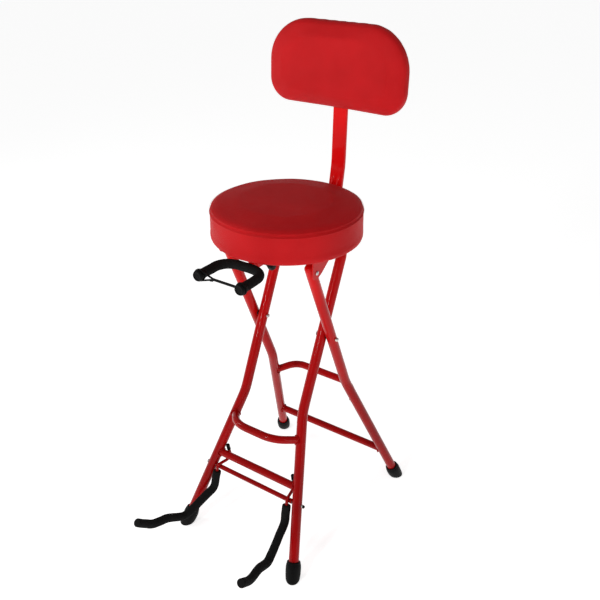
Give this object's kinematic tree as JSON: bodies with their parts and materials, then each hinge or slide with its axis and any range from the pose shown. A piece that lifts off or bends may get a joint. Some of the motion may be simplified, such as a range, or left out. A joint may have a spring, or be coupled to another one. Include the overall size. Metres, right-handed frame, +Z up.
{
  "type": "folding guitar stool with backrest and instrument stand",
  "caption": "Folding tube-frame stool with a round padded seat, a padded backrest, a footrest, a neck yoke under the seat and a swing-down cradle that holds a guitar in front.",
  "frame": {"origin": "on the floor, under the centre of the whole part's box", "axes": "+X to the sitter's left, -Y to the front where the instrument hangs, +Z up; the four feet stand on z = 0"},
  "size_m": [0.3782, 0.5992, 1.0786],
  "materials": {
    "red_paint": "gloss powder coat",
    "red_vinyl": "satin vinyl upholstery",
    "black_foam": "matte closed-cell foam sleeve",
    "black_rubber": "matte moulded rubber",
    "black_plastic": "satin moulded plastic",
    "zinc": "bright zinc plate",
    "plywood": "bare plywood"
  },
  "bodies": {
    "rear_frame": {"rear_lower_bar": "red_paint", "rear_upper_bar": "red_paint", "rear_leg_left": "red_paint", "rear_leg_right": "red_paint", "rear_foot_left": "black_rubber", "rear_foot_right": "black_rubber", "leg_plug_left": "red_paint", "leg_plug_right": "red_paint", "hinge_bolt_left": "zinc", "hinge_bolt_right": "zinc", "pivot_bolt_left": "zinc", "pivot_bolt_right": "zinc", "pivot_washer_left": "black_plastic", "pivot_washer_right": "black_plastic", "pivot_nut_left": "zinc", "pivot_nut_right": "zinc"},
    "front_frame": {"front_top_tube": "red_paint", "footrest_bar": "red_paint", "front_straight_bar": "red_paint", "front_leg_left": "red_paint", "front_leg_right": "red_paint", "front_foot_left": "black_rubber", "front_foot_right": "black_rubber", "axle_bolt_left": "zinc", "axle_bolt_right": "zinc", "axle_bolt_cap": "black_plastic"},
    "seat": {"seat_cushion": "red_vinyl", "seat_board": "plywood", "backrest_post": "red_paint", "backrest_board": "plywood", "backrest_pad": "red_vinyl", "yoke_guide": "red_paint", "yoke_knob": "black_plastic", "post_bolt_1": "zinc", "post_bolt_2": "zinc", "pad_screw_1": "zinc", "pad_screw_2": "zinc", "hinge_bracket_left": "red_paint", "hinge_bracket_right": "red_paint", "bracket_screw_left": "zinc", "bracket_screw_right": "zinc", "guide_screw_left": "zinc", "guide_screw_right": "zinc", "tube_saddle_left": "black_plastic", "tube_saddle_right": "black_plastic"},
    "yoke": {"yoke_frame": "red_paint", "yoke_foam": "black_foam", "yoke_strap": "black_rubber", "yoke_cap_left": "black_rubber", "yoke_cap_right": "black_rubber"},
    "cradle": {"cradle_axle": "red_paint", "cradle_arm_left": "red_paint", "cradle_arm_right": "red_paint", "cradle_foam_left": "black_foam", "cradle_foam_right": "black_foam", "lever_tip_left": "black_rubber", "lever_tip_right": "black_rubber"}
  },
  "joints": [
    {"name": "frame_fold", "type": "hinge", "parent": "rear_frame", "child": "front_frame", "pos_m": [0, 0.07735, 0.4795], "axis": [1, 0, 0], "range_deg": [0, 44]},
    {"name": "seat_fold", "type": "hinge", "parent": "rear_frame", "child": "seat", "pos_m": [0, -0.00242, 0.665], "axis": [1, 0, 0], "range_deg": [0, 110]},
    {"name": "yoke_slide", "type": "slide", "parent": "seat", "child": "yoke", "axis": [0, -1, 0], "range_m": [-0.01, 0.04]},
    {"name": "cradle_fold", "type": "hinge", "parent": "front_frame", "child": "cradle", "pos_m": [0, -0.07261, 0.1463], "axis": [-1, 0, 0], "range_deg": [0, 100]}
  ],
  "couplings": [
    {"joint": "seat_fold", "follows": "frame_fold", "ratio": 2.5}
  ]
}
